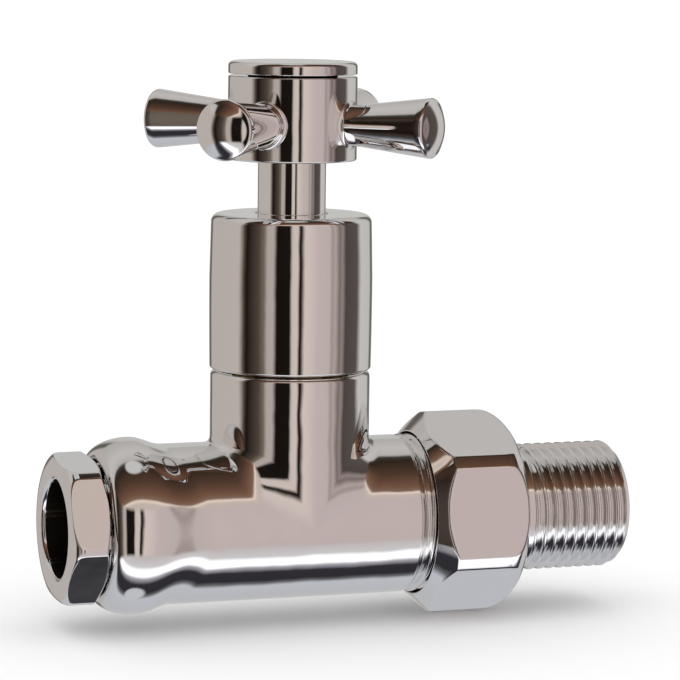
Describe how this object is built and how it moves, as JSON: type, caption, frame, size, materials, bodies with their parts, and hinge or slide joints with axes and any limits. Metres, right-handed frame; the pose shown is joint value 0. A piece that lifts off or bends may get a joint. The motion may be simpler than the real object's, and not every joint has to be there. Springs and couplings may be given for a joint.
{
  "type": "straight radiator valve with crosshead handle",
  "caption": "Straight chrome-plated radiator valve with a rising crosshead handle, a pipe compression nut and a union nut with threaded tail.",
  "frame": {"origin": "centre of the open end of the threaded tail, on the axis of the run", "axes": "+X out of the tail towards the radiator, +Z along the spindle up to the handle, +Y the remaining right-handed axis"},
  "size_m": [0.0959, 0.0414, 0.0904],
  "materials": {
    "chrome_plate": "bright polished chrome plate on brass",
    "bare_brass": "machined brass",
    "black_rubber": "moulded EPDM rubber",
    "red_fibre": "pressed vulcanised fibre",
    "white_ptfe": "waxy white PTFE",
    "nylon": "moulded natural nylon",
    "zinc_steel": "zinc-plated steel"
  },
  "bodies": {
    "tail": {"tailpiece": "chrome_plate", "tail_seal": "red_fibre"},
    "union": {"union_nut": "chrome_plate"},
    "body": {"valve_body": "chrome_plate", "bonnet": "bare_brass", "bonnet_washer": "red_fibre", "shroud": "chrome_plate", "shroud_grip_ring": "black_rubber", "gland_packing": "white_ptfe", "gland_nut": "bare_brass"},
    "olive": {"olive": "bare_brass"},
    "pipe_nut": {"compression_nut": "chrome_plate"},
    "closing_member": {"jumper": "bare_brass", "seat_washer": "black_rubber", "washer_nut": "bare_brass"},
    "handle": {"spindle": "bare_brass", "spindle_o_ring": "black_rubber", "spline_bush": "nylon", "handle_hub": "chrome_plate", "handle_screw": "zinc_steel", "spoke_1": "chrome_plate", "spoke_2": "chrome_plate", "spoke_3": "chrome_plate", "spoke_4": "chrome_plate"},
    "cap": {"index_cap": "chrome_plate"}
  },
  "joints": [
    {"name": "union_nut_turn", "type": "hinge", "parent": "tail", "child": "union", "pos_m": [-0.0275, 0, 0], "axis": [1, 0, 0], "range_deg": [0, 1764]},
    {"name": "valve_draw_off", "type": "slide", "parent": "tail", "child": "body", "axis": [-1, 0, 0], "range_m": [0, 0.00735]},
    {"name": "olive_slide", "type": "slide", "parent": "body", "child": "olive", "axis": [-1, 0, 0], "range_m": [0, 0.00559]},
    {"name": "compression_nut_turn", "type": "hinge", "parent": "olive", "child": "pipe_nut", "pos_m": [-0.0925, 0, 0], "axis": [-1, 0, 0], "range_deg": [0, 1110]},
    {"name": "valve_lift", "type": "slide", "parent": "body", "child": "closing_member", "axis": [0, 0, 1], "range_m": [-0.00431, 0]},
    {"name": "handle_turn", "type": "hinge", "parent": "closing_member", "child": "handle", "pos_m": [-0.0565, 0, 0.064], "axis": [0, 0, 1], "range_deg": [-1035, 0]},
    {"name": "index_cap_lift", "type": "slide", "parent": "handle", "child": "cap", "axis": [0, 0, 1], "range_m": [0, 0.008]}
  ],
  "couplings": [
    {"joint": "union_nut_turn", "follows": "valve_draw_off", "rad_per_m": 4188.8},
    {"joint": "compression_nut_turn", "follows": "olive_slide", "rad_per_m": 3463.7},
    {"joint": "handle_turn", "follows": "valve_lift", "rad_per_m": 4188.8}
  ]
}
